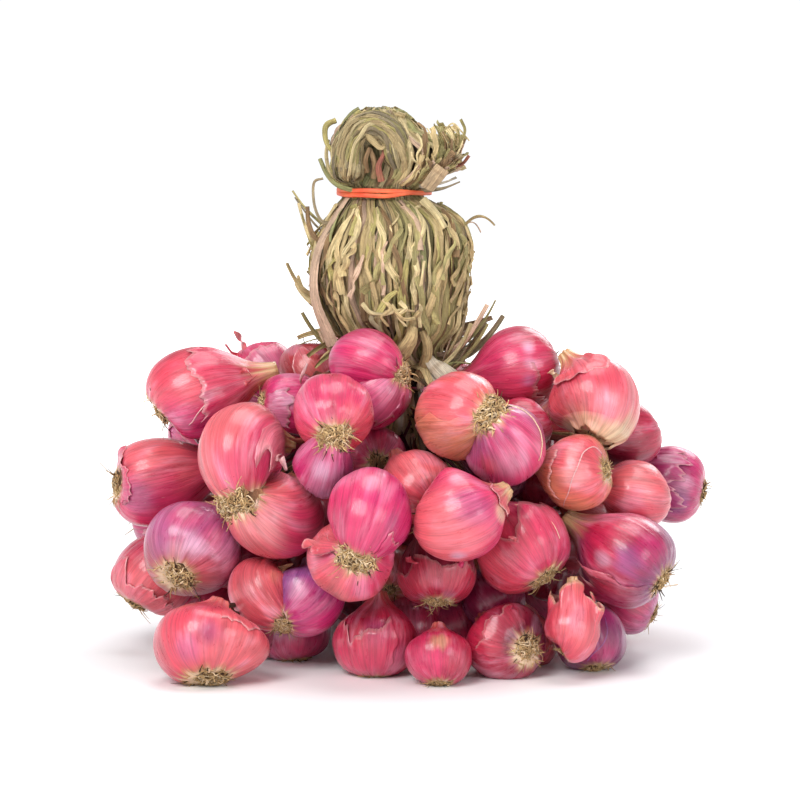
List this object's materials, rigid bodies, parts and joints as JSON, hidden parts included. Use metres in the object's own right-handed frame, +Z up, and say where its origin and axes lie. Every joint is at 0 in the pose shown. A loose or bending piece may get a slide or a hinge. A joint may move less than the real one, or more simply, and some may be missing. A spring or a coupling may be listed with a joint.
{
  "type": "bunch of pink shallots",
  "caption": "Tied market bunch of pink shallots: a mound of papery pink bulbs hanging from gathered stems, under a standing sheaf of dried leaves knotted with a rubber band.",
  "frame": {"origin": "on the ground under the middle of the bunch's bounding box", "axes": "+Z up, +X to the right along the widest way, -Y towards the front"},
  "size_m": [0.2086, 0.18, 0.1896],
  "materials": {
    "pink_skin": "satin papery skin, pink to crimson with silvery veins",
    "salmon_skin": "satin papery skin, salmon with tan fibres",
    "plum_skin": "satin papery skin, magenta to violet bloom",
    "inner_bulbs": "satin papery skin in shadow, straw stalks",
    "dried_leaf": "matt dry straw, tan to olive",
    "rubber_band": "matt orange rubber"
  },
  "bodies": {
    "root": {"shallot_01": "pink_skin", "shallot_02": "plum_skin", "shallot_03": "pink_skin", "shallot_04": "pink_skin", "shallot_05": "plum_skin", "shallot_06": "pink_skin", "shallot_07": "salmon_skin", "shallot_08": "pink_skin", "shallot_09": "plum_skin", "shallot_10": "pink_skin", "shallot_11": "pink_skin", "shallot_12": "pink_skin", "shallot_13": "plum_skin", "shallot_14": "pink_skin", "shallot_15": "pink_skin", "shallot_16": "pink_skin", "shallot_17": "salmon_skin", "shallot_18": "plum_skin", "shallot_19": "pink_skin", "shallot_20": "pink_skin", "shallot_21": "salmon_skin", "shallot_22": "pink_skin", "shallot_23": "salmon_skin", "shallot_24": "pink_skin", "shallot_25": "salmon_skin", "shallot_26": "pink_skin", "shallot_27": "plum_skin", "shallot_28": "pink_skin", "shallot_29": "plum_skin", "shallot_30": "pink_skin", "shallot_31": "pink_skin", "shallot_32": "pink_skin", "shallot_33": "plum_skin", "shallot_34": "pink_skin", "shallot_35": "pink_skin", "shallot_36": "pink_skin", "shallot_37": "pink_skin", "shallot_38": "pink_skin", "shallot_39": "pink_skin", "shallot_40": "pink_skin", "shallot_41": "pink_skin", "shallot_42": "pink_skin", "shallot_43": "pink_skin", "shallot_44": "pink_skin", "shallot_45": "pink_skin", "shallot_46": "pink_skin", "shallot_47": "pink_skin", "shallot_48": "pink_skin", "shallot_49": "pink_skin", "shallot_50": "pink_skin", "shallot_51": "pink_skin", "shallot_52": "pink_skin", "shallot_53": "pink_skin", "shallot_54": "pink_skin", "stem_core": "inner_bulbs", "leaf_bundle": "dried_leaf", "rubber_band": "rubber_band"}
  },
  "joints": []
}
